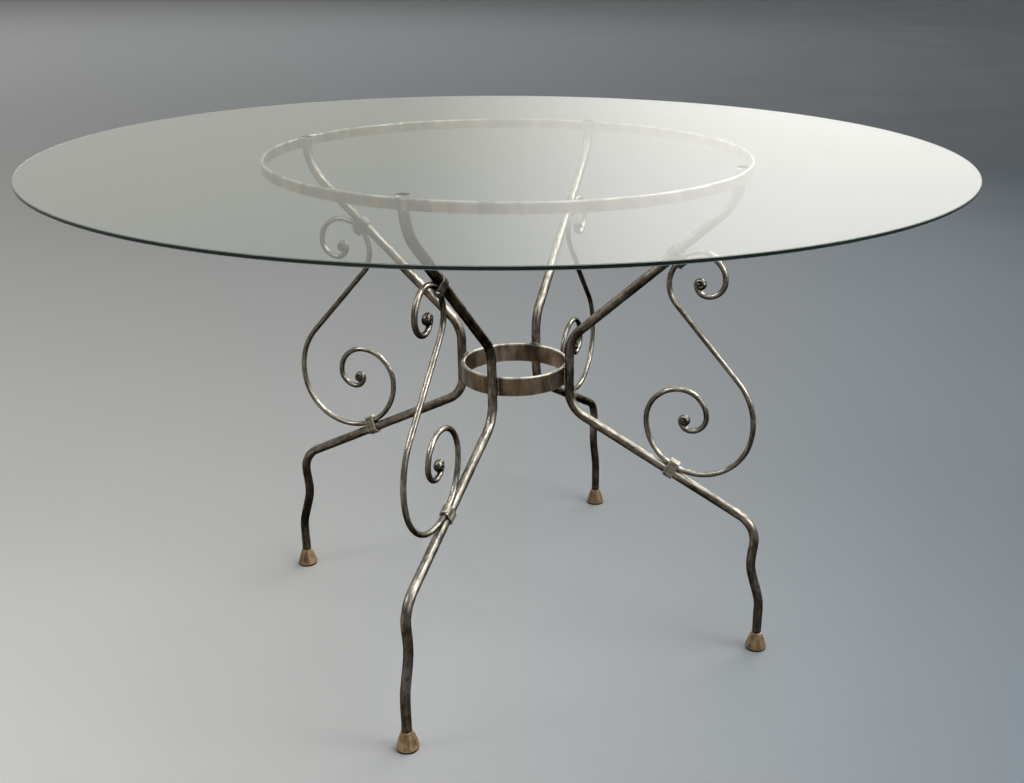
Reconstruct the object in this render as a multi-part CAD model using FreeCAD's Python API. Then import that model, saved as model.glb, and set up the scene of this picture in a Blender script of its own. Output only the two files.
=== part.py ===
import FreeCAD, Part
import math
import os

# Round glass table on a wrought-iron base. Millimetres and degrees.
# The floor is z = 0, the table's axis is Z, and one leg stands over each of +X, +Y, -X and -Y.
# A leg and its scroll are drawn flat, in the plane of x (out from the axis) and z, then turned into place.

# Whole table
table_height = 750.0
leg_count = 4
weld_gap = 0.05             # bars that are welded or strapped together stand this far apart
cut_overrun = 5.0

# Glass top
glass_diameter = 1300.0
glass_thickness = 5.0
glass_arris = 0.8           # ground edge, on both faces

# Clear pads between the ironwork and the glass
pad_diameter = 18.0
pad_thickness = 2.0
pad_crown = 0.5             # rounding of the pad's upper edge

# Top ring, a flat strip rolled on edge
top_ring_diameter = 698.0
top_ring_height = 15.0
top_ring_thickness = 4.0

# Waist ring, a wider flat strip that the four legs are welded round
waist_ring_diameter = 164.0
waist_ring_height = 29.0
waist_ring_thickness = 5.0
waist_height = 415.5        # middle of the strip, above the floor
strip_edge_radius = 0.8     # worn edges of both strips

# Legs, round bar
leg_bar = 14.0
leg_end_run = 8.0           # straight end against the top ring
leg_top_bend = 80.0
waist_upper_rise = 36.5     # from the middle of the waist ring up to where the leg bends out
waist_upper_bend = 50.0
waist_lower_drop = 24.0     # from the middle of the waist ring down to where the leg bends out
waist_lower_bend = 45.0
knee_radius = 388.5         # reach of the knee from the table's axis
knee_height = 185.5
knee_bend = 44.0
shank_tuck = 3.0            # the shank draws in this much below the knee
shank_tuck_drop = 35.5      # and this far below it
foot_step = 13.5            # the foot stands this much further out than the knee
shank_sweep = 78.0          # height over which the shank swings out to the foot
shank_bend_share = 0.82     # of the largest bends that fit in that swing

# Scrolls, lighter round bar
scroll_bar = 8.0
scroll_upper_share = 0.137  # radius of the upper bend, of the span between the two straps
scroll_outer_share = 0.305  # radius of the outer side below the long run, of the same span
scroll_lower_share = 0.241  # radius of the lower bend, of the same span
outer_side_end = -106.0     # heading at which the outer side tightens into the lower bend
upper_collar_reach = 249.0  # where the scroll touches the upper arm, out from the axis
lower_collar_reach = 252.0  # where it touches the lower arm
scroll_eye_radius = 5.4
upper_volute_shares = (0.78, 0.54, 0.37)         # quarter turns, as shares of the upper radius
lower_volute_shares = (0.64, 0.50, 0.29, 0.19)   # quarter turns, as shares of the lower radius
eye_turn = 215.0            # the bar's end rolls over this far

# Strap collars round a leg and its scroll
collar_width = 16.0
collar_thickness = 3.0
collar_clearance = 0.15

# Bell feet with flat-sided facets, on dark soles
foot_diameter = 34.0
foot_height = 28.0          # above the floor, sole included
foot_neck_wall = 1.2        # metal round the leg at the top of the bell
foot_sides = 8
foot_hem_share = 0.96       # the bell draws in a little at its hem
foot_belly_shares = (0.83, 0.50)                 # radius and height of the bell's round side
foot_socket_clearance = 0.1
foot_socket_floor = 8.0     # the leg stands on this, above the floor
sole_thickness = 2.5
sole_share = 0.94           # of the bell's diameter

# Heights and radii that follow
glass_underside = table_height - glass_thickness
iron_top = glass_underside - pad_thickness
leg_radius = leg_bar / 2
scroll_radius = scroll_bar / 2
bar_spacing = leg_radius + weld_gap + scroll_radius
top_leg_reach = top_ring_diameter / 2 - top_ring_thickness - weld_gap - leg_radius
waist_leg_reach = waist_ring_diameter / 2 + weld_gap + leg_radius
foot_reach = knee_radius + foot_step
shank_tuck_reach = knee_radius - shank_tuck
shank_tuck_height = knee_height - shank_tuck_drop
ankle_height = shank_tuck_height - shank_sweep
shank_swing = foot_reach - shank_tuck_reach
shank_bend = shank_bend_share * (shank_sweep ** 2 + shank_swing ** 2) / (4 * shank_swing)

quarter_turn = 90.0
half_turn = 180.0
full_turn = 360.0
DOWN = -quarter_turn
INWARD = -half_turn
UP = quarter_turn
CENTRE = FreeCAD.Vector(0, 0, 0)
AXIS = FreeCAD.Vector(0, 0, 1)
OUTWARD = FreeCAD.Vector(1, 0, 0)
SIDEWAYS = FreeCAD.Vector(0, 1, 0)


def at(x, z):
    """A point in the plane that a leg and its scroll are drawn in."""
    return FreeCAD.Vector(x, 0, z)


def heading(angle):
    """Unit vector in that plane, turned up by angle from straight out."""
    turn = math.radians(angle)
    return at(math.cos(turn), math.sin(turn))


def left_of(angle):
    return heading(angle + quarter_turn)


def tangent_angle(first, second):
    """Heading of the line that leaves one circle and joins the next.

    A circle is (middle, radius), with the radius positive where the path turns left and negative
    where it turns right.
    """
    reach = second[0] - first[0]
    lean = math.asin((second[1] - first[1]) / reach.Length)
    return math.degrees(math.atan2(reach.z, reach.x) - lean)


def touch(circle, angle):
    """Where a path with this heading touches the circle."""
    return circle[0] - left_of(angle) * circle[1]


def bend_edge(circle, start_angle, end_angle):
    """The arc of a circle between two headings of the path."""
    turn = (end_angle - start_angle) % math.copysign(full_turn, circle[1])
    middle_angle = start_angle + turn / 2
    ends = [touch(circle, angle) for angle in (start_angle, middle_angle, end_angle)]
    return Part.Arc(*ends).toShape()


def line_edge(start, end):
    return Part.LineSegment(start, end).toShape()


def chain(start, start_angle, circles, end_angle, end):
    """Straight runs and tangent bends, from a start point to an end point, round each circle in turn."""
    angles = [start_angle]
    angles += [tangent_angle(a, b) for a, b in zip(circles, circles[1:])]
    angles.append(end_angle)
    edges = []
    point = start
    for circle, before, after in zip(circles, angles, angles[1:]):
        edges.append(line_edge(point, touch(circle, before)))
        edges.append(bend_edge(circle, before, after))
        point = touch(circle, after)
    edges.append(line_edge(point, end))
    return edges


def volute(start, start_angle, radii, turns):
    """Right-hand arcs, one after another, that wind in to an eye. Gives the edges and the end."""
    edges = []
    angle = start_angle
    point = start
    for radius, turn in zip(radii, turns):
        circle = (point - left_of(angle) * radius, -radius)
        edges.append(bend_edge(circle, angle, angle - turn))
        angle -= turn
        point = touch(circle, angle)
    return edges, point, angle


def bar_along(edges, start, start_angle, radius):
    """A round bar bent along a path."""
    section = Part.Wire([Part.makeCircle(radius, start, heading(start_angle))])
    return Part.Wire(edges).makePipeShell([section], True, False)


def turned_profile(points):
    """A solid of revolution about the table's axis."""
    return Part.Face(Part.makePolygon(points + points[:1])).revolve(CENTRE, AXIS, full_turn)


# Circles that a leg bends round, from the top ring down to the foot
top_bend = (at(top_leg_reach - leg_top_bend, iron_top - leg_end_run), -leg_top_bend)
upper_waist_bend = (
    at(waist_leg_reach + waist_upper_bend, waist_height + waist_upper_rise), waist_upper_bend)
lower_waist_bend = (
    at(waist_leg_reach + waist_lower_bend, waist_height - waist_lower_drop), waist_lower_bend)
knee = (at(knee_radius - knee_bend, knee_height), -knee_bend)
shank_in = (at(shank_tuck_reach + shank_bend, shank_tuck_height), shank_bend)
shank_out = (at(foot_reach - shank_bend, ankle_height), -shank_bend)

upper_arm_angle = tangent_angle(top_bend, upper_waist_bend)
lower_arm_angle = tangent_angle(lower_waist_bend, knee)


def make_leg():
    top = at(top_leg_reach, iron_top)
    seat = at(foot_reach, foot_socket_floor)
    circles = [top_bend, upper_waist_bend, lower_waist_bend, knee, shank_in, shank_out]
    return bar_along(chain(top, DOWN, circles, DOWN, seat), top, DOWN, leg_radius)


def arm_point(circle, angle, reach):
    """The point of a straight arm that lies this far out from the axis."""
    start = touch(circle, angle)
    along = heading(angle)
    return start + along * ((reach - start.x) / along.x)


# Where each scroll is strapped to its leg, and the circles it follows there
upper_strap_point = arm_point(upper_waist_bend, upper_arm_angle, upper_collar_reach)
upper_strap_side = left_of(upper_arm_angle)
lower_strap_point = arm_point(lower_waist_bend, lower_arm_angle, lower_collar_reach)
lower_strap_side = left_of(lower_arm_angle)
strap_span = (upper_strap_point - lower_strap_point).Length
scroll_upper_radius = scroll_upper_share * strap_span
scroll_outer_radius = scroll_outer_share * strap_span
scroll_lower_radius = scroll_lower_share * strap_span
scroll_upper_circle = (
    upper_strap_point + upper_strap_side * (bar_spacing + scroll_upper_radius), scroll_upper_radius)
scroll_lower_circle = (
    lower_strap_point + lower_strap_side * (bar_spacing + scroll_lower_radius), -scroll_lower_radius)
outer_side_foot = touch(scroll_lower_circle, outer_side_end)
scroll_outer_circle = (
    outer_side_foot - left_of(outer_side_end) * scroll_outer_radius, -scroll_outer_radius)


def make_scroll():
    """An S of round bar: a tight volute above, a long run, a full outer side and a wide volute below."""
    upper_radii = [share * scroll_upper_radius for share in upper_volute_shares] + [scroll_eye_radius]
    lower_radii = [share * scroll_lower_radius for share in lower_volute_shares] + [scroll_eye_radius]
    upper_turns = [quarter_turn] * len(upper_volute_shares) + [eye_turn]
    lower_turns = [quarter_turn] * len(lower_volute_shares) + [eye_turn]

    run_angle = tangent_angle(scroll_upper_circle, scroll_outer_circle)
    crown = touch(scroll_upper_circle, INWARD)
    inner_side = touch(scroll_lower_circle, UP)
    upper_edges, eye, eye_angle = volute(crown, INWARD + half_turn, upper_radii, upper_turns)
    edges = upper_edges[::-1]
    edges.append(bend_edge(scroll_upper_circle, INWARD, run_angle))
    edges.append(line_edge(touch(scroll_upper_circle, run_angle), touch(scroll_outer_circle, run_angle)))
    edges.append(bend_edge(scroll_outer_circle, run_angle, outer_side_end))
    edges.append(bend_edge(scroll_lower_circle, outer_side_end, UP))
    edges += volute(inner_side, UP, lower_radii, lower_turns)[0]
    return bar_along(edges, eye, eye_angle + half_turn, scroll_radius)


def band_face(point, side, leg_size, scroll_size):
    """Section of a strap pulled tight round two round bars, square to the leg."""
    scroll_middle = point + side * bar_spacing
    lean = math.asin((leg_size - scroll_size) / bar_spacing)
    edges = []
    touches = []
    for middle, size, far in ((point, leg_size, -1), (scroll_middle, scroll_size, 1)):
        high = middle + (side * math.sin(lean) + SIDEWAYS * math.cos(lean)) * size
        low = middle + (side * math.sin(lean) - SIDEWAYS * math.cos(lean)) * size
        edges.append(Part.Arc(high, middle + side * (far * size), low).toShape())
        touches.append((high, low))
    for start, end in zip(*touches):
        edges.append(line_edge(start, end))
    return Part.Face(Part.Wire(Part.__sortEdges__(edges)))


def make_collar(point, side, along, leg, scroll):
    """A flat strap bent round a leg and its scroll where they touch."""
    inner_leg = leg_radius + collar_clearance
    inner_scroll = scroll_radius + collar_clearance
    start = point - along * (collar_width / 2)
    outer = band_face(start, side, inner_leg + collar_thickness, inner_scroll + collar_thickness)
    inner = band_face(start, side, inner_leg, inner_scroll)
    strap = outer.cut(inner).extrude(along * collar_width)
    return strap.cut(leg).cut(scroll)


def make_ring(diameter, thickness, top, height):
    """A flat strip rolled on edge into a ring, with worn edges."""
    outer = diameter / 2
    inner = outer - thickness
    points = [at(inner, top - height), at(outer, top - height), at(outer, top), at(inner, top)]
    ring = turned_profile(points)
    return ring.makeFillet(strip_edge_radius, ring.Edges)


def make_glass():
    """A disc of plate glass with ground arrises."""
    edge = glass_diameter / 2
    face = edge - glass_arris
    points = [
        at(0, glass_underside), at(face, glass_underside), at(edge, glass_underside + glass_arris),
        at(edge, table_height - glass_arris), at(face, table_height), at(0, table_height)]
    return turned_profile(points)


def make_pad():
    """A clear disc that the glass rests on, over the end of a leg."""
    pad = Part.makeCylinder(pad_diameter / 2, pad_thickness, at(top_leg_reach, iron_top))
    rim = [edge for edge in pad.Edges if edge.BoundBox.ZMin > iron_top + pad_crown]
    return pad.makeFillet(pad_crown, rim)


def make_foot():
    """A bell whose sides are flat across and rounded upward, with a socket for the leg."""
    hem = foot_diameter / 2
    rise = foot_height - sole_thickness
    hem_point = at(hem * foot_hem_share, sole_thickness)
    belly = at(hem * foot_belly_shares[0], sole_thickness + rise * foot_belly_shares[1])
    neck = at(leg_radius + foot_socket_clearance + foot_neck_wall, foot_height)
    across = [point.scale(-1, 1, 1) for point in map(FreeCAD.Vector, (hem_point, belly, neck))]
    outline = Part.Wire([
        line_edge(across[0], hem_point), Part.Arc(hem_point, belly, neck).toShape(),
        line_edge(neck, across[2]), Part.Arc(across[2], across[1], across[0]).toShape()])
    vault = Part.Face(outline).extrude(SIDEWAYS * foot_diameter)
    vault.translate(SIDEWAYS * (-hem))
    bell = vault
    for step in range(1, foot_sides // 2):
        side = vault.copy()
        side.rotate(CENTRE, AXIS, step * full_turn / foot_sides)
        bell = bell.common(side)
    bell.translate(OUTWARD * foot_reach)
    socket = Part.makeCylinder(
        leg_radius + foot_socket_clearance, foot_height - foot_socket_floor + cut_overrun,
        at(foot_reach, foot_socket_floor))
    return bell.cut(socket)


def make_sole():
    return Part.makeCylinder(foot_diameter / 2 * sole_share, sole_thickness, at(foot_reach, 0))


def save(name, shape):
    solids = shape.Solids
    if len(solids) == 1:
        shape = solids[0]
    print(name, "solids", len(solids), "valid", shape.isValid(), "volume", round(shape.Volume, 1))
    shape.exportStep(os.path.join("parts", name + ".step"))


os.makedirs("parts", exist_ok=True)
leg = make_leg()
scroll = make_scroll()
upper_collar = make_collar(
    upper_strap_point, upper_strap_side, heading(upper_arm_angle), leg, scroll)
lower_collar = make_collar(
    lower_strap_point, lower_strap_side, heading(lower_arm_angle), leg, scroll)
around = {
    "leg": leg,
    "scroll": scroll,
    "upper_collar": upper_collar,
    "lower_collar": lower_collar,
    "foot": make_foot(),
    "sole": make_sole(),
    "glass_pad": make_pad(),
}
save("glass_top", make_glass())
save("top_ring", make_ring(top_ring_diameter, top_ring_thickness, iron_top, top_ring_height))
save("waist_ring", make_ring(
    waist_ring_diameter, waist_ring_thickness, waist_height + waist_ring_height / 2, waist_ring_height))
for name, shape in around.items():
    for number in range(leg_count):
        copy = shape.copy()
        copy.rotate(CENTRE, AXIS, number * full_turn / leg_count)
        save(name + "_" + str(number + 1), copy)
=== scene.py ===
import math
import bmesh
import bpy
from mathutils import Matrix, Vector


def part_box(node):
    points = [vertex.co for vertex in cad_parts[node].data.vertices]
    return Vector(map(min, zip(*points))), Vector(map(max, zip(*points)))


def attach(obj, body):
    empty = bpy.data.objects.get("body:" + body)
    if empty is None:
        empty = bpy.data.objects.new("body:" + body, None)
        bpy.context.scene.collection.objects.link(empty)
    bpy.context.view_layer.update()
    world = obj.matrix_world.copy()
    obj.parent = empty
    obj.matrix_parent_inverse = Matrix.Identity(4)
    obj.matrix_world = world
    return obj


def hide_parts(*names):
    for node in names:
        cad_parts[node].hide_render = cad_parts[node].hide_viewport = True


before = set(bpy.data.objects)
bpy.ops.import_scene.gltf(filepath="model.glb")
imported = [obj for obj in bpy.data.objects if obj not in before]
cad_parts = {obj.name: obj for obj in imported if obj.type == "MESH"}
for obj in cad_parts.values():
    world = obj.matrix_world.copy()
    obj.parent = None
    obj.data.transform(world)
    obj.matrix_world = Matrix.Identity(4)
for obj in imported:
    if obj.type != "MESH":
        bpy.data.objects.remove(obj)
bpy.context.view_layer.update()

# Round glass table on a wrought-iron base. Metres and degrees.
# The floor is z = 0, the table's axis is Z, leg 1 stands over +X, leg 2 over +Y, and so on round.

# Bars and the bends that they follow, drawn in the plane of x (out from the axis) and z
leg_count = 4
leg_radius = 0.007
scroll_radius = 0.004
weld_gap = 0.00005
bar_spacing = leg_radius + weld_gap + scroll_radius
iron_top = 0.743
leg_end_run = 0.008
leg_top_bend = 0.080
top_ring_thickness = 0.004
waist_ring_thickness = 0.005
top_leg_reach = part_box("top_ring")[1].x - top_ring_thickness - weld_gap - leg_radius
waist_leg_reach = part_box("waist_ring")[1].x + weld_gap + leg_radius
waist_height = 0.4155
waist_upper_rise = 0.0365
waist_upper_bend = 0.050
waist_lower_drop = 0.024
waist_lower_bend = 0.045
knee_reach = 0.3885
knee_height = 0.1855
knee_bend = 0.044
shank_tuck_reach = 0.3855
shank_tuck_height = 0.150
ankle_height = 0.072
shank_bend = 0.079
foot_reach = 0.402
foot_socket_floor = 0.008
upper_strap_reach = 0.249
lower_strap_reach = 0.252
scroll_upper_share = 0.137
scroll_outer_share = 0.305
scroll_lower_share = 0.241
outer_side_end = -106.0
scroll_eye_radii = (0.0054, 0.0042, 0.0030)
upper_volute_shares = (0.78, 0.54, 0.37)
lower_volute_shares = (0.64, 0.50, 0.29, 0.19)
eye_turns = (180.0, 90.0, 200.0)
arc_step = 0.0012

# Straps, strips, feet and pads
strap_width = 0.016
strap_thickness = 0.003
strap_clearance = 0.00015
strap_pinch = 0.0009
strap_start = -30.0
strap_lap = 25.0
strap_spur = 0.0028
strip_edge = 0.0009
weld_drop = 0.0023
weld_spacing = 0.0021
foot_sides = 8
pad_crown = 0.0005
glass_arris = 0.0008

quarter_turn = 90.0
half_turn = 180.0
full_turn = 360.0
DOWN = -quarter_turn
INWARD = -half_turn
UP = quarter_turn
AXIS = Vector((0, 0, 1))
SIDEWAYS = Vector((0, 1, 0))


# Paths of the bars
def at(x, z):
    return Vector((x, 0, z))


def heading(angle):
    return at(math.cos(math.radians(angle)), math.sin(math.radians(angle)))


def left_of(angle):
    return heading(angle + quarter_turn)


def tangent_angle(first, second):
    """Heading of the line from one bend to the next. A bend is (middle, radius), positive to the left."""
    reach = second[0] - first[0]
    lean = math.asin((second[1] - first[1]) / reach.length)
    return math.degrees(math.atan2(reach.z, reach.x) - lean)


def touch(bend, angle):
    return bend[0] - left_of(angle) * bend[1]


def bend_points(bend, start_angle, end_angle):
    """Points along a bend between two headings of the bar."""
    turn = (end_angle - start_angle) % math.copysign(full_turn, bend[1])
    count = max(2, math.ceil(abs(math.radians(turn) * bend[1]) / arc_step))
    return [touch(bend, start_angle + turn * step / count) for step in range(count + 1)]


def volute_points(start, start_angle, radii, turns):
    """Arcs, each tighter than the last, that wind in to an eye."""
    points = []
    angle = start_angle
    point = start
    for radius, turn in zip(radii, turns):
        bend = (point - left_of(angle) * radius, -radius)
        points += bend_points(bend, angle, angle - turn)
        angle -= turn
        point = touch(bend, angle)
    return points


def smooth(share):
    return share * share * (3 - 2 * share)


def arm_point(bend, angle, reach):
    start = touch(bend, angle)
    along = heading(angle)
    return start + along * ((reach - start.x) / along.x)


top_bend = (at(top_leg_reach - leg_top_bend, iron_top - leg_end_run), -leg_top_bend)
upper_waist_bend = (
    at(waist_leg_reach + waist_upper_bend, waist_height + waist_upper_rise), waist_upper_bend)
lower_waist_bend = (
    at(waist_leg_reach + waist_lower_bend, waist_height - waist_lower_drop), waist_lower_bend)
knee = (at(knee_reach - knee_bend, knee_height), -knee_bend)
shank_in = (at(shank_tuck_reach + shank_bend, shank_tuck_height), shank_bend)
shank_out = (at(foot_reach - shank_bend, ankle_height), -shank_bend)
leg_bends = [top_bend, upper_waist_bend, lower_waist_bend, knee, shank_in, shank_out]
upper_arm_angle = tangent_angle(top_bend, upper_waist_bend)
lower_arm_angle = tangent_angle(lower_waist_bend, knee)
upper_strap_point = arm_point(upper_waist_bend, upper_arm_angle, upper_strap_reach)
lower_strap_point = arm_point(lower_waist_bend, lower_arm_angle, lower_strap_reach)
strap_span = (upper_strap_point - lower_strap_point).length
scroll_upper_radius = scroll_upper_share * strap_span
scroll_outer_radius = scroll_outer_share * strap_span
scroll_lower_radius = scroll_lower_share * strap_span
scroll_upper_bend = (
    upper_strap_point + left_of(upper_arm_angle) * (bar_spacing + scroll_upper_radius),
    scroll_upper_radius)
scroll_lower_bend = (
    lower_strap_point + left_of(lower_arm_angle) * (bar_spacing + scroll_lower_radius),
    -scroll_lower_radius)
outer_side_foot = touch(scroll_lower_bend, outer_side_end)
scroll_outer_bend = (
    outer_side_foot - left_of(outer_side_end) * scroll_outer_radius, -scroll_outer_radius)


def leg_path():
    angles = [DOWN]
    angles += [tangent_angle(a, b) for a, b in zip(leg_bends, leg_bends[1:])]
    angles.append(DOWN)
    points = [at(top_leg_reach, iron_top)]
    for bend, before, after in zip(leg_bends, angles, angles[1:]):
        points += bend_points(bend, before, after)
    points.append(at(foot_reach, foot_socket_floor))
    return points


def scroll_path():
    upper_radii = [share * scroll_upper_radius for share in upper_volute_shares]
    lower_radii = [share * scroll_lower_radius for share in lower_volute_shares]
    upper_turns = [quarter_turn] * len(upper_volute_shares)
    lower_turns = [quarter_turn] * len(lower_volute_shares)
    run_angle = tangent_angle(scroll_upper_bend, scroll_outer_bend)
    crown = touch(scroll_upper_bend, INWARD)
    points = volute_points(
        crown, INWARD + half_turn, upper_radii + list(scroll_eye_radii), upper_turns + list(eye_turns))[::-1]
    points += bend_points(scroll_upper_bend, INWARD, run_angle)
    points += bend_points(scroll_outer_bend, run_angle, outer_side_end)
    points += bend_points(scroll_lower_bend, outer_side_end, UP)
    points += volute_points(
        touch(scroll_lower_bend, UP), UP, lower_radii + list(scroll_eye_radii), lower_turns + list(eye_turns))
    return points


# Node helpers
def add_node(tree, kind, inputs=None, **options):
    """Adds a node, sets its options, and sets or links its inputs."""
    node = tree.nodes.new(kind)
    for option, value in options.items():
        setattr(node, option, value)
    for key, value in (inputs or {}).items():
        if isinstance(value, bpy.types.NodeSocket):
            tree.links.new(value, node.inputs[key])
        else:
            node.inputs[key].default_value = value
    return node


def maths(tree, operation, *values, clamp=False):
    inputs = dict(enumerate(values))
    return add_node(tree, "ShaderNodeMath", inputs, operation=operation, use_clamp=clamp).outputs[0]


def product(tree, *values):
    total = values[0]
    for value in values[1:]:
        total = maths(tree, "MULTIPLY", total, value)
    return total


def vector_maths(tree, operation, *values):
    """A vector sum. Dot products and lengths come out as numbers."""
    slots = (0, "Scale") if operation == "SCALE" else (0, 1)
    node = add_node(tree, "ShaderNodeVectorMath", dict(zip(slots, values)), operation=operation)
    return node.outputs["Value" if operation in ("DOT_PRODUCT", "LENGTH") else "Vector"]


def noise(tree, place, scale, detail, roughness=0.5):
    inputs = {"Vector": place, "Scale": scale, "Detail": detail, "Roughness": roughness}
    return add_node(tree, "ShaderNodeTexNoise", inputs).outputs[0]


def keep(tree, geometry, name, value, kind="FLOAT"):
    """Keeps a value with each point, under a name that the finishes read."""
    inputs = {"Geometry": geometry, "Name": name, "Value": value}
    return add_node(
        tree, "GeometryNodeStoreNamedAttribute", inputs, data_type=kind, domain="POINT").outputs[0]


def spread(tree, value, low, high, to_low=0.0, to_high=1.0):
    """Smooth step from one range to another."""
    inputs = {"Value": value, "From Min": low, "From Max": high, "To Min": to_low, "To Max": to_high}
    return add_node(tree, "ShaderNodeMapRange", inputs, interpolation_type="SMOOTHSTEP").outputs["Result"]


def mix_colours(tree, share, first, second, blend="MIX"):
    inputs = {0: share, 6: first, 7: second}
    return add_node(tree, "ShaderNodeMix", inputs, data_type="RGBA", blend_type=blend).outputs[2]


def new_tree(name, kind, inputs, outputs):
    tree = bpy.data.node_groups.new(name, kind)
    for label, socket in inputs:
        tree.interface.new_socket(label, in_out="INPUT", socket_type="NodeSocket" + socket)
    for label, socket in outputs:
        tree.interface.new_socket(label, in_out="OUTPUT", socket_type="NodeSocket" + socket)
    return tree, tree.nodes.new("NodeGroupInput").outputs


# Geometry trees
def hammer_marks_tree():
    """Shallow dishes left by the hammer, with their raised ridges kept as an attribute."""
    tree, given = new_tree("hammer marks", "GeometryNodeTree", [
        ("Geometry", "Geometry"), ("Depth", "Float"), ("Blow Size", "Float"), ("Sway", "Float"),
        ("Sway Size", "Float"), ("Seed", "Vector"), ("Material", "Material")], [("Geometry", "Geometry")])
    place = add_node(tree, "GeometryNodeInputPosition").outputs[0]
    normal = add_node(tree, "GeometryNodeInputNormal").outputs[0]
    spot = vector_maths(tree, "ADD", place, given["Seed"])
    blow_scale = maths(tree, "DIVIDE", 1.0, given["Blow Size"])
    blows = add_node(tree, "ShaderNodeTexVoronoi", {"Vector": spot, "Scale": blow_scale}).outputs["Distance"]
    dish = maths(tree, "MULTIPLY", blows, blows)
    sway_scale = maths(tree, "DIVIDE", 1.0, given["Sway Size"])
    drift = noise(tree, spot, sway_scale, 1.0)
    lift = maths(tree, "MULTIPLY", maths(tree, "SUBTRACT", dish, 0.3), given["Depth"])
    lift = maths(tree, "MULTIPLY_ADD", maths(tree, "SUBTRACT", drift, 0.5), given["Sway"], lift)
    moved = add_node(tree, "GeometryNodeSetPosition", {
        "Geometry": given["Geometry"], "Offset": vector_maths(tree, "SCALE", normal, lift)}).outputs[0]
    kept = keep(tree, moved, "ridge", spread(tree, dish, 0.10, 0.60))
    kept = keep(tree, kept, "facing", normal, "FLOAT_VECTOR")
    softened = add_node(tree, "GeometryNodeSetShadeSmooth", {"Geometry": kept}).outputs[0]
    real = add_node(tree, "GeometryNodeRealizeInstances", {"Geometry": softened}).outputs[0]
    clad = add_node(tree, "GeometryNodeSetMaterial", {"Geometry": real, "Material": given["Material"]})
    add_node(tree, "NodeGroupOutput", {"Geometry": clad.outputs[0]})
    return tree


def hammer(tree, given, geometry, hammer_marks):
    """Ends a tree with the hammer marks, whose sizes it was given."""
    hammered = add_node(tree, "GeometryNodeGroup", {"Geometry": geometry}, node_tree=hammer_marks)
    for label in ("Depth", "Blow Size", "Sway", "Sway Size", "Seed", "Material"):
        tree.links.new(given[label], hammered.inputs[label])
    add_node(tree, "NodeGroupOutput", {"Geometry": hammered.outputs[0]})


def forged_bar_tree(hammer_marks):
    """A round bar along a path, drawn down and rounded at its ends, then hammered."""
    tree, given = new_tree("forged bar", "GeometryNodeTree", [
        ("Geometry", "Geometry"), ("Radius", "Float"), ("Step", "Float"), ("Sides", "Int"),
        ("Taper Run", "Float"), ("Tip Share", "Float"), ("Tip Round", "Float"), ("Tip Fade", "Float"),
        ("Tip Spread", "Float"), ("Sideways", "Vector"), ("Depth", "Float"),
        ("Blow Size", "Float"), ("Sway", "Float"), ("Sway Size", "Float"), ("Seed", "Vector"),
        ("Material", "Material")], [("Geometry", "Geometry")])
    line = add_node(tree, "GeometryNodeMeshToCurve", {"Mesh": given["Geometry"]}).outputs[0]
    line = add_node(tree, "GeometryNodeResampleCurve", {
        "Curve": line, "Length": given["Step"]}, mode="LENGTH").outputs[0]
    along = add_node(tree, "GeometryNodeSplineParameter").outputs["Length"]
    total = add_node(tree, "GeometryNodeSplineLength").outputs["Length"]
    from_end = maths(tree, "MINIMUM", along, maths(tree, "SUBTRACT", total, along))
    taper = spread(tree, from_end, 0.0, given["Taper Run"], given["Tip Share"], 1.0)
    inward = maths(tree, "DIVIDE", from_end, given["Tip Round"], clamp=True)
    outward = maths(tree, "SUBTRACT", 1.0, inward)
    dome = maths(tree, "SQRT", maths(tree, "SUBTRACT", 1.02, maths(tree, "MULTIPLY", outward, outward)))
    tip = spread(tree, from_end, 0.0, given["Tip Fade"], 1.0, 0.0)
    line = keep(tree, line, "along", along)
    line = keep(tree, line, "tip", tip)
    section = add_node(tree, "GeometryNodeCurvePrimitiveCircle", {
        "Resolution": given["Sides"], "Radius": given["Radius"]}).outputs[0]
    tube = add_node(tree, "GeometryNodeCurveToMesh", {
        "Curve": line, "Profile Curve": section, "Scale": maths(tree, "MULTIPLY", taper, dome),
        "Fill Caps": True}).outputs[0]
    place = add_node(tree, "GeometryNodeInputPosition").outputs[0]
    off_plane = vector_maths(tree, "DOT_PRODUCT", place, given["Sideways"])
    near_tip = add_node(
        tree, "GeometryNodeInputNamedAttribute", {"Name": "tip"}, data_type="FLOAT").outputs[0]
    widening = product(tree, off_plane, given["Tip Spread"], near_tip)
    widened = vector_maths(tree, "SCALE", given["Sideways"], widening)
    tube = add_node(tree, "GeometryNodeSetPosition", {"Geometry": tube, "Offset": widened}).outputs[0]
    hammer(tree, given, tube, hammer_marks)
    return tree


def weld_bead_tree(hammer_marks):
    """Overlapping drops of weld along a seam, each a little different."""
    tree, given = new_tree("weld bead", "GeometryNodeTree", [
        ("Geometry", "Geometry"), ("Drop Radius", "Float"), ("Spacing", "Float"), ("Depth", "Float"),
        ("Blow Size", "Float"), ("Sway", "Float"), ("Sway Size", "Float"), ("Seed", "Vector"),
        ("Material", "Material")], [("Geometry", "Geometry")])
    line = add_node(tree, "GeometryNodeMeshToCurve", {"Mesh": given["Geometry"]}).outputs[0]
    line = add_node(tree, "GeometryNodeResampleCurve", {
        "Curve": line, "Length": given["Spacing"]}, mode="LENGTH").outputs[0]
    drop = add_node(tree, "GeometryNodeMeshIcoSphere", {
        "Radius": given["Drop Radius"], "Subdivisions": 3}).outputs["Mesh"]
    swell = add_node(
        tree, "FunctionNodeRandomValue", {2: 0.75, 3: 1.2, "Seed": 5}, data_type="FLOAT").outputs[1]
    drops = add_node(tree, "GeometryNodeInstanceOnPoints", {
        "Points": line, "Instance": drop, "Scale": swell}).outputs[0]
    real = add_node(tree, "GeometryNodeRealizeInstances", {"Geometry": drops}).outputs[0]
    hammer(tree, given, real, hammer_marks)
    return tree


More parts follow.
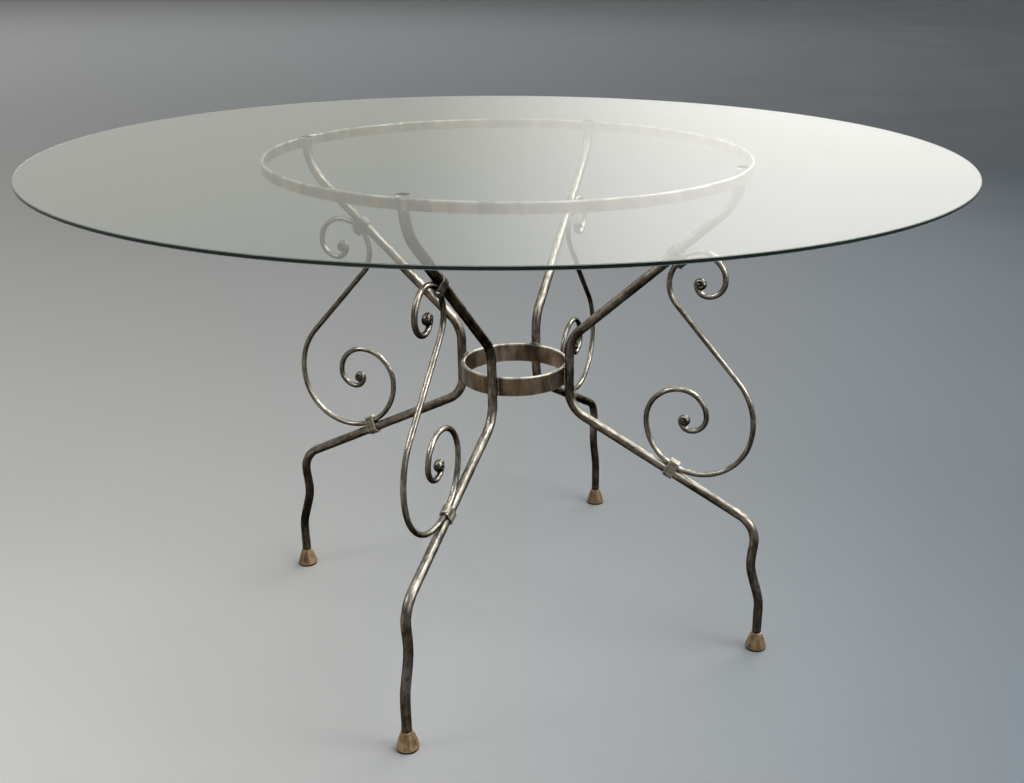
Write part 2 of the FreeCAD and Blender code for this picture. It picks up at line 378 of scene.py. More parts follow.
hammer_marks = hammer_marks_tree()
forged_bar = forged_bar_tree(hammer_marks)
weld_bead = weld_bead_tree(hammer_marks)


def grow(source, tree, sizes):
    """Runs a tree on a source object and gives its result as a plain mesh object of the same name."""
    name = source.name
    modifier = source.modifiers.new(tree.name, "NODES")
    modifier.node_group = tree
    for item in tree.interface.items_tree:
        if item.in_out == "INPUT" and item.name in sizes:
            modifier[item.identifier] = sizes[item.name]
    graph = bpy.context.evaluated_depsgraph_get()
    mesh = bpy.data.meshes.new_from_object(source.evaluated_get(graph))
    bpy.data.objects.remove(source)
    return add_piece(name, mesh)


# Finishes
def object_place(tree):
    return add_node(tree, "ShaderNodeTexCoord").outputs["Object"]


def patina_group():
    """Brown patina in soft patches, rubbed bright on raised metal where the wear says, with painted shade in
    nooks and fine grain.
    """
    tree, given = new_tree("rubbed patina", "ShaderNodeTree", [
        ("Ground", "Color"), ("Shade", "Color"), ("Rubbed", "Color"), ("Patch Scale", "Float"),
        ("Grain Scale", "Float"), ("Wear", "Float"), ("Tone", "Float"), ("Dull", "Float"),
        ("Shine", "Float")], [
        ("Color", "Color"), ("Roughness", "Float"), ("Height", "Float")])
    place = object_place(tree)
    patches = noise(tree, place, given["Patch Scale"], 4.0, 0.6)
    grain = noise(tree, place, given["Grain Scale"], 5.0, 0.7)
    colour = mix_colours(tree, spread(tree, patches, 0.35, 0.65), given["Ground"], given["Shade"])
    rub = maths(tree, "MULTIPLY_ADD", maths(tree, "SUBTRACT", grain, 0.5), 0.5, given["Wear"])
    rub = maths(tree, "MULTIPLY_ADD", maths(tree, "SUBTRACT", 0.5, patches), 0.5, rub, clamp=True)
    colour = mix_colours(tree, rub, colour, given["Rubbed"])
    # Painted shade: ambient occlusion darkens the colour in nooks and between parts, where shade falls. The
    # tone input multiplies in the callers' own painted shade and real tone.
    nook = add_node(tree, "ShaderNodeAmbientOcclusion", {"Distance": 0.009}, samples=8).outputs["AO"]
    tone_and_painted_nook_shade = maths(tree, "MULTIPLY", given["Tone"], spread(tree, nook, 0.30, 0.85, 0.30, 1.0))
    colour = mix_colours(tree, 1.0, colour, tone_and_painted_nook_shade, "MULTIPLY")
    gloss = add_node(tree, "ShaderNodeMix", {0: rub, 2: given["Dull"], 3: given["Shine"]}).outputs[0]
    gloss = maths(tree, "MULTIPLY_ADD", maths(tree, "SUBTRACT", grain, 0.5), 0.18, gloss, clamp=True)
    relief = maths(tree, "MULTIPLY_ADD", patches, 0.4, grain)
    add_node(tree, "NodeGroupOutput", {"Color": colour, "Roughness": gloss, "Height": relief})
    return tree


rubbed_patina = patina_group()


def new_material(name, **constants):
    material = bpy.data.materials.new(name)
    material.use_nodes = True
    tree = material.node_tree
    surface = tree.nodes["Principled BSDF"]
    for socket, value in constants.items():
        surface.inputs[socket.replace("_", " ")].default_value = value
    return material, tree, surface


def attribute(tree, name, output="Fac"):
    return add_node(tree, "ShaderNodeAttribute", attribute_name=name).outputs[output]


def height(tree):
    return add_node(tree, "ShaderNodeSeparateXYZ", {0: object_place(tree)}).outputs["Z"]


def upward(tree):
    """How far the surface faces up, from -1 to 1, before it was hammered."""
    return add_node(tree, "ShaderNodeSeparateXYZ", {0: attribute(tree, "facing", "Vector")}).outputs["Z"]


def patinated(name, colours, scales, wear, gloss, bump, **constants):
    """A metal finish: patina rubbed bright where wear says, on ridges and edges, with a painted highlight on
    upper faces.

    The colours are ground, shade and rubbed, the scales are patches and grain, the gloss is dull and shine.
    """
    material, tree, surface = new_material(name, Metallic=1.0, **constants)
    # Painted highlight: faces that look up are lightened, as if lit from above. The worn value below adds it
    # to the real wear on ridges and edges.
    upper_face_highlight = spread(tree, upward(tree), *wear["rise"])
    worn = maths(tree, "MULTIPLY_ADD", upper_face_highlight, wear["upward"], wear["all"])
    for label in ("ridge", "edge"):
        worn = maths(tree, "MULTIPLY_ADD", attribute(tree, label), wear[label], worn)
    finish = add_node(tree, "ShaderNodeGroup", node_tree=rubbed_patina)
    values = dict(zip(("Ground", "Shade", "Rubbed"), [(*colour, 1.0) for colour in colours]))
    values.update(zip(("Patch Scale", "Grain Scale", "Dull", "Shine"), scales + gloss))
    values["Tone"] = 1.0
    for label, value in values.items():
        finish.inputs[label].default_value = value
    tree.links.new(worn, finish.inputs["Wear"])
    grain = add_node(tree, "ShaderNodeBump", {
        "Strength": bump, "Distance": 0.0004, "Height": finish.outputs["Height"]}).outputs[0]
    tree.links.new(finish.outputs["Color"], surface.inputs["Base Color"])
    tree.links.new(finish.outputs["Roughness"], surface.inputs["Roughness"])
    tree.links.new(grain, surface.inputs["Normal"])
    return material, tree, finish, worn


def bar_noise(tree, round_scale, along_scale):
    """Noise drawn out along a bar, by how it faces and how far along it is."""
    girth = vector_maths(tree, "SCALE", attribute(tree, "facing", "Vector"), round_scale)
    length = maths(tree, "MULTIPLY", attribute(tree, "along"), along_scale)
    return add_node(tree, "ShaderNodeTexNoise", {
        "Vector": girth, "W": length, "Scale": 1.0, "Detail": 4.0, "Roughness": 0.62},
        noise_dimensions="4D").outputs[0]


def bar_finish(name, rubbed, rise, shine, bump):
    """Burnished bar: rubbed silver in streaks, a painted highlight on its upper side, painted shade that
    makes it brown-black below, and dark at its ends.
    """
    material, tree, finish, worn = patinated(
        name, ((0.215, 0.157, 0.104), (0.076, 0.052, 0.033), rubbed), (14.0, 420.0),
        {"all": 0.02, "ridge": 0.10, "edge": 0.0, "upward": 0.80, "rise": rise}, (0.40, shine), bump,
        Specular_Tint=(0.16, 0.135, 0.11, 1.0))
    streaks = bar_noise(tree, 2.2, 40.0)
    worn = maths(tree, "MULTIPLY_ADD", maths(tree, "SUBTRACT", streaks, 0.5), 1.9, worn)
    tree.links.new(worn, finish.inputs["Wear"])
    clouds = noise(tree, object_place(tree), 9.0, 2.0)
    shank = spread(tree, height(tree), 0.12, 0.24, 0.42, 1.0)
    # Painted shade: the bar darkens as it faces down, as if in its own shade.
    painted_underside_shade = spread(tree, upward(tree), -0.40, 0.15, 0.29, 1.0)
    eye = spread(tree, attribute(tree, "tip"), 0.1, 0.9, 1.0, 0.30)
    cloudy = spread(tree, clouds, 0.36, 0.62, 0.66, 1.12)
    mottled = spread(tree, bar_noise(tree, 1.6, 90.0), 0.36, 0.60, 0.56, 1.20)
    tree.links.new(product(tree, shank, painted_underside_shade, eye, cloudy, mottled), finish.inputs["Tone"])
    return material


def strip_finish():
    """Brown strip of the rings, streaked up and down, darker close to each weld, with bright edges."""
    material, tree, finish, _ = patinated(
        "streaked_strip", ((0.245, 0.176, 0.113), (0.145, 0.096, 0.058), (0.74, 0.68, 0.58)), (18.0, 420.0),
        {"all": -0.08, "ridge": 0.05, "edge": 0.95, "upward": 0.20, "rise": (0.2, 0.9)}, (0.40, 0.30), 0.06,
        Coat_Weight=0.15, Coat_Roughness=0.25)
    place = object_place(tree)
    stretched = add_node(tree, "ShaderNodeMapping", {
        "Vector": place, "Scale": (46.0, 46.0, 13.0)}).outputs[0]
    streaked = spread(tree, noise(tree, stretched, 1.0, 3.0), 0.37, 0.62, 1.66, 0.60)
    spot = add_node(tree, "ShaderNodeSeparateXYZ", {0: place}).outputs
    from_leg = maths(tree, "ABSOLUTE", maths(tree, "MULTIPLY", spot["X"], spot["Y"]))
    # Darker within about one to two centimetres of each leg.
    darker_by_legs = spread(tree, from_leg, 0.0006, 0.0018, 0.45, 1.0)
    tree.links.new(product(tree, streaked, darker_by_legs), finish.inputs["Tone"])
    return material


def strap_finish():
    """Pewter-coloured strap with a painted highlight on top, painted shade underneath, and painted shade that
    darkens the upper straps under the glass.
    """
    material, tree, finish, _ = patinated(
        "pewter_strap", ((0.33, 0.272, 0.192), (0.16, 0.122, 0.080), (0.66, 0.62, 0.53)), (70.0, 420.0),
        {"all": 0.0, "ridge": 0.15, "edge": 0.45, "upward": 0.42, "rise": (-0.3, 0.85)},
        (0.42, 0.30), 0.12)
    # Painted shade: darker where the strap faces down, and on the upper straps up under the glass.
    painted_underside_shade = spread(tree, upward(tree), -0.7, 0.2, 0.35, 1.0)
    painted_shade_under_glass = spread(tree, height(tree), 0.45, 0.55, 1.0, 0.40)
    tree.links.new(product(tree, painted_underside_shade, painted_shade_under_glass), finish.inputs["Tone"])
    return material


def foot_finish():
    return patinated(
        "bronze_foot", ((0.46, 0.292, 0.150), (0.25, 0.147, 0.070), (0.80, 0.63, 0.43)), (90.0, 420.0),
        {"all": -0.04, "ridge": 0.08, "edge": 0.45, "upward": 0.2, "rise": (-0.35, 0.85)},
        (0.40, 0.27), 0.12)[0]


def weld_finish():
    return patinated(
        "weld_metal", ((0.14, 0.105, 0.073), (0.07, 0.050, 0.034), (0.44, 0.40, 0.35)), (160.0, 600.0),
        {"all": 0.0, "ridge": 0.1, "edge": 0.0, "upward": 0.45, "rise": (-0.1, 0.9)},
        (0.45, 0.32), 0.15)[0]


def cloudy_finish(name, cloud_scale, detail, roughness, colours, clouds, gloss, **constants):
    """A finish whose colour drifts between two, and whose gloss drifts over part of the clouds' range."""
    material, tree, surface = new_material(name, **constants)
    cloud = noise(tree, object_place(tree), cloud_scale, detail, roughness)
    first, second = colours
    tree.links.new(mix_colours(tree, cloud, (*first, 1), (*second, 1)), surface.inputs["Base Color"])
    tree.links.new(spread(tree, cloud, *clouds, *gloss), surface.inputs["Roughness"])
    return material


def sole_finish():
    return cloudy_finish(
        "dark_sole", 600.0, 3.0, 0.5, ((0.010, 0.009, 0.008), (0.035, 0.032, 0.028)),
        (0.3, 0.7), (0.55, 0.8), Specular_IOR_Level=0.35)


def pad_finish():
    return cloudy_finish(
        "clear_pad", 350.0, 2.0, 0.5, ((0.86, 0.89, 0.88), (0.95, 0.96, 0.95)),
        (0.3, 0.7), (0.08, 0.22), Transmission_Weight=1.0, IOR=1.45)


def glass_face_finish():
    """Clear plate with a faint green-grey tint and the lightest film of handling."""
    return cloudy_finish(
        "clear_plate", 3.0, 4.0, 0.6, ((0.93, 0.965, 0.945), (0.955, 0.975, 0.96)),
        (0.45, 0.75), (0.0, 0.02), Transmission_Weight=1.0, IOR=1.52)


def glass_edge_finish():
    """Ground edge, so deep a green that it is nearly black."""
    return cloudy_finish(
        "green_edge", 14.0, 3.0, 0.5, ((0.006, 0.016, 0.012), (0.020, 0.042, 0.033)),
        (0.3, 0.7), (0.12, 0.22), IOR=1.52)


def glass_arris_finish():
    """Ground corner of the plate, milky and pale green."""
    return cloudy_finish(
        "ground_arris", 300.0, 3.0, 0.5, ((0.40, 0.47, 0.44), (0.56, 0.62, 0.58)),
        (0.3, 0.7), (0.30, 0.50), Transmission_Weight=0.7, IOR=1.52)


def floor_finish():
    """Plain backdrop with painted light and shade: it fans from warm and pale at the front's left to cool and
    grey at its right, and is painted brighter near the front.
    """
    material, tree, surface = new_material("pale_floor", Specular_IOR_Level=0.25)
    place = object_place(tree)
    from_front = vector_maths(tree, "SUBTRACT", place, (0.65, -1.57, 0))
    reach = vector_maths(tree, "LENGTH", from_front)
    rightward = vector_maths(tree, "DOT_PRODUCT", from_front, (0.952, 0.306, 0))
    bearing = maths(tree, "DIVIDE", rightward, maths(tree, "ADD", reach, 0.8))
    # Painted light and shade: the paint fans from pale to dark grey across the floor, in place of light
    # falling off.
    painted_light_fan = maths(tree, "DIVIDE", maths(tree, "ADD", bearing, 0.42), 0.72, clamp=True)
    painted_light_fan = maths(tree, "POWER", painted_light_fan, 0.75)
    paint = mix_colours(tree, painted_light_fan, (0.615, 0.605, 0.585, 1), (0.160, 0.190, 0.222, 1))
    cloud = noise(tree, place, 1.2, 4.0)
    clouded = spread(tree, cloud, 0.3, 0.7, 0.985, 1.0)
    # Painted light: brighter close to the front, a little darker further off.
    painted_light_near_front = spread(tree, reach, 1.2, 2.4, 1.12, 0.92)
    paint = mix_colours(tree, 1.0, paint, product(tree, clouded, painted_light_near_front), "MULTIPLY")
    tree.links.new(paint, surface.inputs["Base Color"])
    tree.links.new(spread(tree, cloud, 0.3, 0.7, 0.75, 0.85), surface.inputs["Roughness"])
    return material


burnished_leg = bar_finish("burnished_leg", (0.56, 0.515, 0.450), (-0.20, 0.80), 0.33, 0.22)
burnished_scroll = bar_finish("burnished_scroll", (0.80, 0.74, 0.645), (-0.28, 0.76), 0.23, 0.12)
streaked_strip = strip_finish()
pewter_strap = strap_finish()
bronze_foot = foot_finish()
weld_metal = weld_finish()
dark_sole = sole_finish()
clear_pad = pad_finish()
clear_plate = glass_face_finish()
green_edge = glass_edge_finish()
ground_arris = glass_arris_finish()


# Meshes
def add_piece(name, mesh):
    piece = bpy.data.objects.new(name, mesh)
    mesh.name = name
    bpy.context.scene.collection.objects.link(piece)
    return piece


def mesh_piece(name, vertices, faces, edges=(), edge_wear=None):
    """A piece from plain lists, with its faces turned outward."""
    mesh = bpy.data.meshes.new(name)
    mesh.from_pydata([tuple(vertex) for vertex in vertices], list(edges), faces)
    if edge_wear:
        mesh.attributes.new("edge", "FLOAT", "POINT").data.foreach_set("value", edge_wear)
    if faces:
        shell = bmesh.new()
        shell.from_mesh(mesh)
        bmesh.ops.recalc_face_normals(shell, faces=shell.faces)
        shell.to_mesh(mesh)
        shell.free()
        mesh.shade_smooth()
    return add_piece(name, mesh)


def polyline(name, points):
    return mesh_piece(name, points, [], [(step, step + 1) for step in range(len(points) - 1)])


def band_section(width, thickness, edge, flat_step, edge_steps=3):
    """Points round a strip's section as (outward, along, wear), with rounded corners."""
    along = width / 2 - edge
    out = thickness / 2 - edge
    corners = ((out, along), (-out, along), (-out, -along), (out, -along))
    section = []
    for number, (x, y) in enumerate(corners):
        for step in range(edge_steps + 1):
            angle = math.radians((number + step / edge_steps) * quarter_turn)
            section.append((x + edge * math.cos(angle), y + edge * math.sin(angle), 1.0))
        angle = math.radians((number + 1) * quarter_turn)
        next_x, next_y = corners[(number + 1) % len(corners)]
        run = math.hypot(next_x - x, next_y - y)
        parts = max(1, round(run / flat_step))
        for step in range(1, parts):
            share = step / parts
            section.append((
                x + (next_x - x) * share + edge * math.cos(angle),
                y + (next_y - y) * share + edge * math.sin(angle), 0.0 if number % 2 else 0.8))
    return section


def band_piece(name, stations, section, closed=True):
    """A strip. Each station is (point, outward, along), and the last joins the first where it is closed."""
    vertices = []
    wear = []
    for point, outward, along in stations:
        for out, across, worn in section:
            vertices.append(point + outward * out + along * across)
            wear.append(worn)
    count = len(section)
    total = len(vertices)
    faces = []
    for base in range(0, total if closed else total - count, count):
        for step in range(count):
            near = base + step
            far = base + (step + 1) % count
            faces.append((near, far, (far + count) % total, (near + count) % total))
    if not closed:
        faces += [tuple(range(count)), tuple(range(total - count, total))]
    return mesh_piece(name, vertices, faces, edge_wear=wear)


def lathe_piece(name, profile, centre, segments):
    """Turns a profile of (radius, z) from the lower pole to the upper pole about an upright axis."""
    vertices = [centre + AXIS * profile[0][1]]
    for radius, z in profile[1:-1]:
        for step in range(segments):
            angle = math.radians(full_turn * step / segments)
            vertices.append(centre + Vector((radius * math.cos(angle), radius * math.sin(angle), z)))
    vertices.append(centre + AXIS * profile[-1][1])
    top = len(vertices) - 1
    last = top - segments
    faces = []
    for step in range(segments):
        after = (step + 1) % segments
        faces.append((0, 1 + step, 1 + after))
        faces.append((last + step, last + after, top))
        for base in range(1, last, segments):
            faces.append((base + step, base + after, base + segments + after, base + segments + step))
    return mesh_piece(name, vertices, faces)


# Pieces
def settle(piece, body, slot, *nodes):
    """Hands a finished piece to its body, in place of the solids that it stands for."""
    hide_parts(*nodes)
    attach(piece, body)
    return piece


def weld(piece):
    """Hands a bead, which has no solid of its own, to the base."""
    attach(piece, "base")


def turned(points, number):
    """Points, or the vectors of a station, carried round the axis to a leg."""
    turn = Matrix.Rotation(math.radians(full_turn * number / leg_count), 3, "Z")
    return [turn @ point for point in points]


def make_bar(name, points, number, radius, sizes, material):
    return grow(polyline(name, turned(points, number)), forged_bar, {
        "Radius": radius, "Seed": (number * 3.7, number * 5.3 + radius * 900, number * 1.9),
        "Sideways": turned([SIDEWAYS], number)[0], "Material": material, **sizes})


leg_sizes = {
    "Step": 0.002, "Sides": 28, "Taper Run": 0.01, "Tip Share": 1.0, "Tip Round": 0.001, "Tip Fade": 0.004,
    "Tip Spread": 0.0, "Depth": 0.00040, "Blow Size": 0.011, "Sway": 0.0006, "Sway Size": 0.05}
scroll_sizes = {
    "Step": 0.0014, "Sides": 22, "Taper Run": 0.05, "Tip Share": 0.95, "Tip Round": 0.003, "Tip Fade": 0.050,
    "Tip Spread": 0.75, "Depth": 0.00014, "Blow Size": 0.009, "Sway": 0.0004, "Sway Size": 0.04}


def strap_stations(point, angle):
    """Stations of a strap that starts on the scroll, wraps both bars and laps over its own start."""
    side = left_of(angle)
    along = heading(angle)
    grip = strap_clearance + strap_thickness / 2
    leg_grip = leg_radius + grip
    scroll_grip = scroll_radius + grip
    flank = quarter_turn - math.degrees(math.asin((leg_grip - scroll_grip) / bar_spacing))
    stations = []

    def wrap(reach, grip, start, end, steps):
        for step in range(steps + 1):
            turn = math.radians(start + (end - start) * step / steps)
            outward = side * math.cos(turn) + SIDEWAYS * math.sin(turn)
            lapped = strap_thickness * smooth(step / steps) if end == strap_lap else 0.0
            stations.append((point + side * reach + outward * (grip + lapped), outward, along))

    def pinch(start, end):
        for step in range(1, 8):
            share = step / 8
            dip = strap_pinch * math.sin(math.pi * share) ** 2
            stations.append((start[0].lerp(end, share) - start[1] * dip, start[1], along))

    def flank_point(reach, grip, turn):
        outward = side * math.cos(math.radians(turn)) + SIDEWAYS * math.sin(math.radians(turn))
        return point + side * reach + outward * grip

    wrap(bar_spacing, scroll_grip, strap_start, flank, 12)
    pinch(stations[-1], flank_point(0.0, leg_grip, flank))
    wrap(0.0, leg_grip, flank, full_turn - flank, 24)
    pinch(stations[-1], flank_point(bar_spacing, scroll_grip, -flank))
    wrap(bar_spacing, scroll_grip, -flank, strap_lap, 12)
    last, outward, along = stations[-1]
    onward = outward.cross(along).normalized()
    for step in range(1, 5):
        stations.append((last + onward * (strap_spur * step / 4), outward, along * (1 - 0.12 * step)))
    return stations


def make_strap(name, point, angle, number):
    section = band_section(strap_width, strap_thickness, strip_edge, 0.0016)
    stations = [turned(station, number) for station in strap_stations(point, angle)]
    strap = band_piece(name, stations, section, closed=False)
    return grow(strap, hammer_marks, {
        "Depth": 0.0005, "Blow Size": 0.007, "Sway": 0.0004, "Sway Size": 0.012,
        "Seed": (number * 2.3, point.z * 9.0, number * 4.1), "Material": pewter_strap})


def make_weld(name, points, number):
    """A bead along the seam between a leg and a ring."""
    return grow(polyline(name, turned(points, number)), weld_bead, {
        "Drop Radius": weld_drop, "Spacing": weld_spacing, "Depth": 0.0002, "Blow Size": 0.004,
        "Sway": 0.0008, "Sway Size": 0.008, "Seed": (number * 6.1, points[0].z * 40, 1.0),
        "Material": weld_metal})


def waist_seam():
    """Up one side of the leg, over the ring's upper edge and down the other side."""
    low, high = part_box("waist_ring")
    face = high.x + weld_drop * 0.4
    wide = leg_radius * 0.9
    return [Vector((face, -wide, low.z + weld_drop)), Vector((face, -wide, high.z - weld_drop * 0.3)),
            Vector((face, -wide * 0.55, high.z + weld_drop * 0.2)),
            Vector((face, wide * 0.55, high.z + weld_drop * 0.2)),
            Vector((face, wide, high.z - weld_drop * 0.3)), Vector((face, wide, low.z + weld_drop))]


def top_seams():
    """Down both sides of the leg's end, inside the ring."""
    low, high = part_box("top_ring")
    face = high.x - top_ring_thickness - weld_drop * 0.4
    wide = leg_radius * 0.9
    top = high.z - weld_drop * 1.4
    foot = low.z + weld_drop
    return [[Vector((face, side, top)), Vector((face, side, foot))] for side in (-wide, wide)]


def make_strip_ring(node, name, thickness):
    """A strip rolled on edge, a little uneven along its edges."""
    low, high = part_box(node)
    middle = high.x - thickness / 2
    level = AXIS * ((low.z + high.z) / 2)
    count = round(full_turn * middle / 0.16)
    stations = []
    for step in range(count):
        angle = math.radians(full_turn * step / count)
        outward = Vector((math.cos(angle), math.sin(angle), 0))
        stations.append((outward * middle + level, outward, AXIS))
    section = [(out, across, worn if across > 0 else worn * 0.2)
               for out, across, worn in band_section(high.z - low.z, thickness, strip_edge, 0.0022)]
    ring = band_piece(name, stations, section)
    return grow(ring, hammer_marks, {
        "Depth": 0.0003, "Blow Size": 0.018, "Sway": 0.0006, "Sway Size": 0.05,
        "Seed": (7.1, 3.3, 0.4), "Material": streaked_strip})


def make_foot(name, node):
    """A bell of gores with soft ribs between them, a rolled neck and a turned hem."""
    low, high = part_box(node)
    centre = (low + high) / 2
    hem = min(high.x - low.x, high.y - low.y) / 2
    rise = high.z - low.z
    outline = ((0.0, 0.92), (0.015, 0.985), (0.05, 1.0), (0.10, 0.995), (0.14, 0.965), (0.20, 0.945),
               (0.32, 0.900), (0.45, 0.840), (0.58, 0.770), (0.70, 0.695), (0.80, 0.625), (0.88, 0.565),
               (0.93, 0.530), (0.96, 0.530), (0.985, 0.515), (1.0, 0.48))
    segments = foot_sides * 12
    vertices = []
    wear = []
    for share, width in outline:
        gore = math.sin(math.pi * min(1.0, max(0.0, share * 1.1))) ** 0.5
        for step in range(segments):
            angle = math.radians(full_turn * step / segments)
            within = (step / 12) % 1.0
            rib = abs(within - 0.5) * 2
            depth = 1 - 0.088 * gore * (1 - rib ** 1.6)
            radius = hem * width * depth
            vertices.append(Vector((
                centre.x + radius * math.cos(angle), centre.y + radius * math.sin(angle),
                low.z + rise * share)))
            wear.append(max(rib ** 8 * 1.1 * gore, 0.9 if 0.01 < share < 0.1 else 0.0))
    floor_centre = len(vertices)
    vertices.append(Vector((centre.x, centre.y, low.z)))
    vertices.append(Vector((centre.x, centre.y, high.z)))
    wear += [0.0, 0.0]
    faces = []
    rows = len(outline)
    for step in range(segments):
        after = (step + 1) % segments
        faces.append((floor_centre, after, step))
        base = (rows - 1) * segments
        faces.append((base + step, base + after, floor_centre + 1))
        for row in range(rows - 1):
            base = row * segments
            faces.append((base + step, base + after, base + segments + after, base + segments + step))
    foot = mesh_piece(name, vertices, faces, edge_wear=wear)
    return grow(foot, hammer_marks, {
        "Depth": 0.0002, "Blow Size": 0.006, "Sway": 0.0003, "Sway Size": 0.012,
        "Seed": (centre.x * 9, centre.y * 9, 2.0), "Material": bronze_foot})


def make_disc(name, node, crown, material, segments):
    """A small disc with its upper edge rounded."""
    low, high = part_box(node)
    centre = Vector(((low.x + high.x) / 2, (low.y + high.y) / 2, 0))
    radius = (high.x - low.x) / 2
    profile = [(0.0, low.z), (radius - crown, low.z)]
    for step in range(5):
        angle = math.radians(quarter_turn * step / 4)
        profile.append((radius - crown * (1 - math.cos(angle)), high.z - crown * (1 - math.sin(angle))))
    profile.append((0.0, high.z))
    disc = lathe_piece(name, profile, centre, segments)
    disc.data.materials.append(material)
    disc.data.set_sharp_from_angle(angle=math.radians(40))
    return disc


def make_glass():
    """The plate: clear faces, ground arrises and a dark edge, as one closed disc."""
    low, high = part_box("glass_top")
    edge = high.x
    face = edge - glass_arris
    profile = [(0.0, low.z), (edge * 0.5, low.z), (face, low.z), (edge, low.z + glass_arris),
               (edge, high.z - glass_arris), (face, high.z), (edge * 0.5, high.z), (0.0, high.z)]
    plate = lathe_piece("glass_plate", profile, Vector((0, 0, 0)), 512)
    plate.data.materials.append(clear_plate)
    plate.data.materials.append(green_edge)
    plate.data.materials.append(ground_arris)
    for polygon in plate.data.polygons:
        if abs(polygon.normal.z) < 0.3:
            polygon.material_index = 1
        elif abs(polygon.normal.z) < 0.9:
            polygon.material_index = 2
    plate.data.set_sharp_from_angle(angle=math.radians(30))
    plate.visible_shadow = False
    return plate


leg_line = leg_path()
scroll_line = scroll_path()
for number in range(leg_count):
    tag = "_" + str(number + 1)
    leg = make_bar("forged_leg" + tag, leg_line, number, leg_radius, leg_sizes, burnished_leg)
    scroll = make_bar(
        "forged_scroll" + tag, scroll_line, number, scroll_radius, scroll_sizes, burnished_scroll)
    settle(leg, "base", "burnished_iron", "leg" + tag)
    settle(scroll, "base", "burnished_iron", "scroll" + tag)
    settle(make_strap("upper_strap" + tag, upper_strap_point, upper_arm_angle, number),
           "base", "burnished_iron", "upper_collar" + tag)
    settle(make_strap("lower_strap" + tag, lower_strap_point, lower_arm_angle, number),
           "base", "burnished_iron", "lower_collar" + tag)
    weld(make_weld("waist_weld" + tag, waist_seam(), number))
    for letter, seam in zip("ab", top_seams()):
        weld(make_weld("top_weld" + tag + letter, seam, number))
    settle(make_foot("bell_foot" + tag, "foot" + tag), "base", "bronze_feet", "foot" + tag)
    settle(make_disc("floor_sole" + tag, "sole" + tag, 0.0004, dark_sole, 48),
           "base", "dark_sole", "sole" + tag)
    settle(make_disc("clear_rest" + tag, "glass_pad" + tag, pad_crown, clear_pad, 40),
           "base", "clear_pad", "glass_pad" + tag)
settle(make_strip_ring("top_ring", "top_strip", top_ring_thickness),
       "base", "burnished_iron", "top_ring")
settle(make_strip_ring("waist_ring", "waist_strip", waist_ring_thickness),
       "base", "burnished_iron", "waist_ring")
settle(make_glass(), "glass", "clear_glass", "glass_top")


# Floor, light and camera
def make_floor():
    reach = 40.0
    corners = [(-reach, -reach, 0), (reach, -reach, 0), (reach, reach, 0), (-reach, reach, 0)]
    floor = mesh_piece("floor", corners, [(0, 1, 2, 3)])
    floor.data.materials.append(floor_finish())


def add_softbox(name, spot, aim, width, tall, power, colour):
    light = bpy.data.lights.new(name, "AREA")
    light.shape = "RECTANGLE"
    light.size = width
    light.size_y = tall
    light.energy = power
    light.color = colour
    lamp = bpy.data.objects.new(name, light)
    bpy.context.scene.collection.objects.link(lamp)
    lamp.location = spot
    lamp.rotation_euler = (Vector(aim) - Vector(spot)).to_track_quat("-Z", "Y").to_euler()
    lamp.visible_camera = False


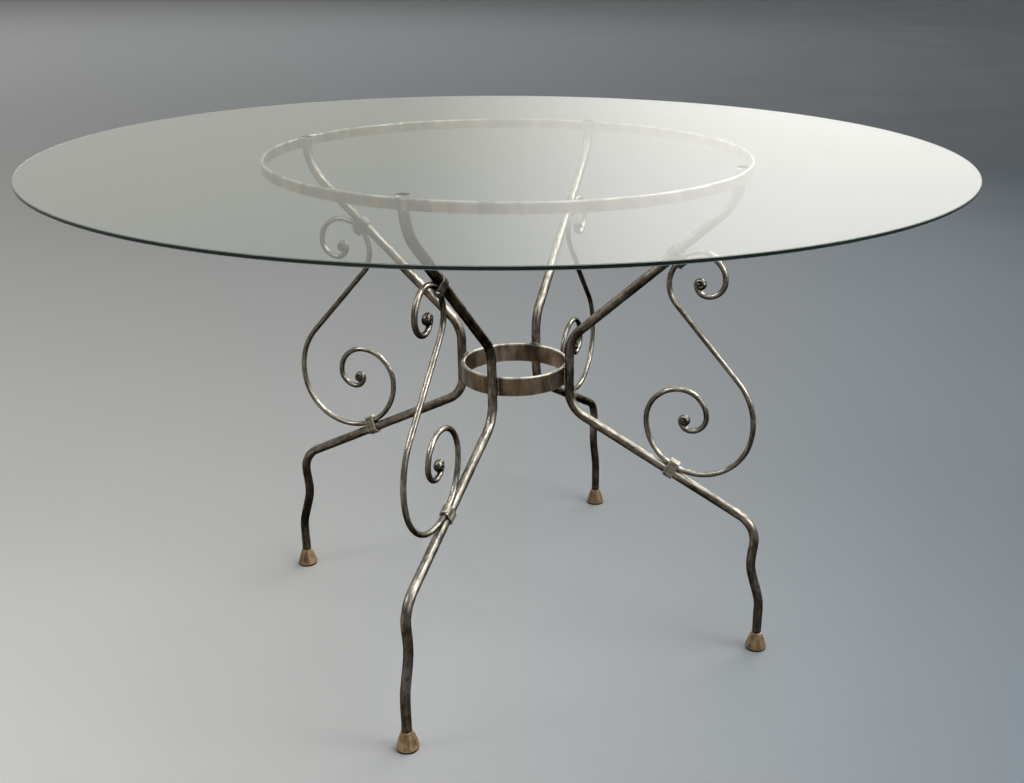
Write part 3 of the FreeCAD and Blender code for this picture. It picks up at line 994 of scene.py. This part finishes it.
def make_room():
    """An even room, with a pale wall behind the table and one soft glow low on it."""
    world = bpy.data.worlds.new("soft_room")
    bpy.context.scene.world = world
    bpy.context.scene.view_settings.view_transform = "Standard"
    world.use_nodes = True
    tree = world.node_tree
    way = add_node(tree, "ShaderNodeTexCoord").outputs["Generated"]
    parts = add_node(tree, "ShaderNodeSeparateXYZ", {0: way}).outputs
    facing = vector_maths(tree, "DOT_PRODUCT", way, Vector((0.16, 0.96, 0.21)).normalized())
    back = spread(tree, parts["Y"], -0.2, 0.5)
    wall = mix_colours(tree, back, (0.10, 0.10, 0.10, 1), (0.49, 0.495, 0.445, 1))
    room = mix_colours(tree, spread(tree, parts["Z"], 0.15, 0.5), wall, (0.13, 0.135, 0.14, 1))
    glow = mix_colours(tree, spread(tree, facing, 0.79, 0.965), room, (1.40, 1.38, 1.31, 1))
    tree.links.new(glow, tree.nodes["Background"].inputs["Color"])


def hang_softboxes():
    white = (1.0, 0.985, 0.96)
    warm = (1.0, 0.97, 0.93)
    cool = (0.92, 0.97, 1.0)
    add_softbox("top_softbox", (-0.9, -0.8, 3.0), (-0.5, -0.4, 0), 2.2, 2.2, 16.0, white)
    add_softbox("right_softbox", (1.6, 0.0, 3.0), (0.2, 0, 0.3), 1.5, 1.5, 36.0, white)
    add_softbox("back_softbox", (1.1, 2.9, 2.6), (0, 0, 0.4), 2.4, 1.3, 46.0, white)
    add_softbox("key_softbox", (-2.2, -1.9, 2.6), (0, 0, 0.3), 0.7, 0.7, 14.0, warm)
    add_softbox("side_softbox", (2.4, 0.0, 1.4), (0.3, 0, 0.45), 0.8, 1.0, 17.0, white)
    add_softbox("front_softbox", (2.3, -1.7, 1.3), (0.2, 0, 0.4), 0.5, 1.0, 6.0, white)
    add_softbox("far_softbox", (-6.5, 10.0, 6.0), (-6.5, 10.0, 0), 12.0, 12.0, 285.0, cool)


def place_camera():
    turn, tilt, roll = 17.82, 68.61, 0.86
    lens_pixels, wide, middle_x, middle_y, tall = 1163.36, 1024, 605.58, 401.45, 783
    camera = bpy.data.cameras.new("view")
    camera.sensor_fit = "HORIZONTAL"
    camera.sensor_width = 36.0
    camera.lens = camera.sensor_width * lens_pixels / wide
    camera.shift_x = (wide / 2 - middle_x) / wide
    camera.shift_y = (middle_y - tall / 2) / wide
    viewer = bpy.data.objects.new("view", camera)
    bpy.context.scene.collection.objects.link(viewer)
    viewer.matrix_world = (
        Matrix.Translation((0.6517, -1.5679, 1.0262)) @ Matrix.Rotation(math.radians(turn), 4, "Z")
        @ Matrix.Rotation(math.radians(tilt), 4, "X") @ Matrix.Rotation(math.radians(roll), 4, "Z"))
    bpy.context.scene.camera = viewer


make_floor()
make_room()
hang_softboxes()
place_camera()
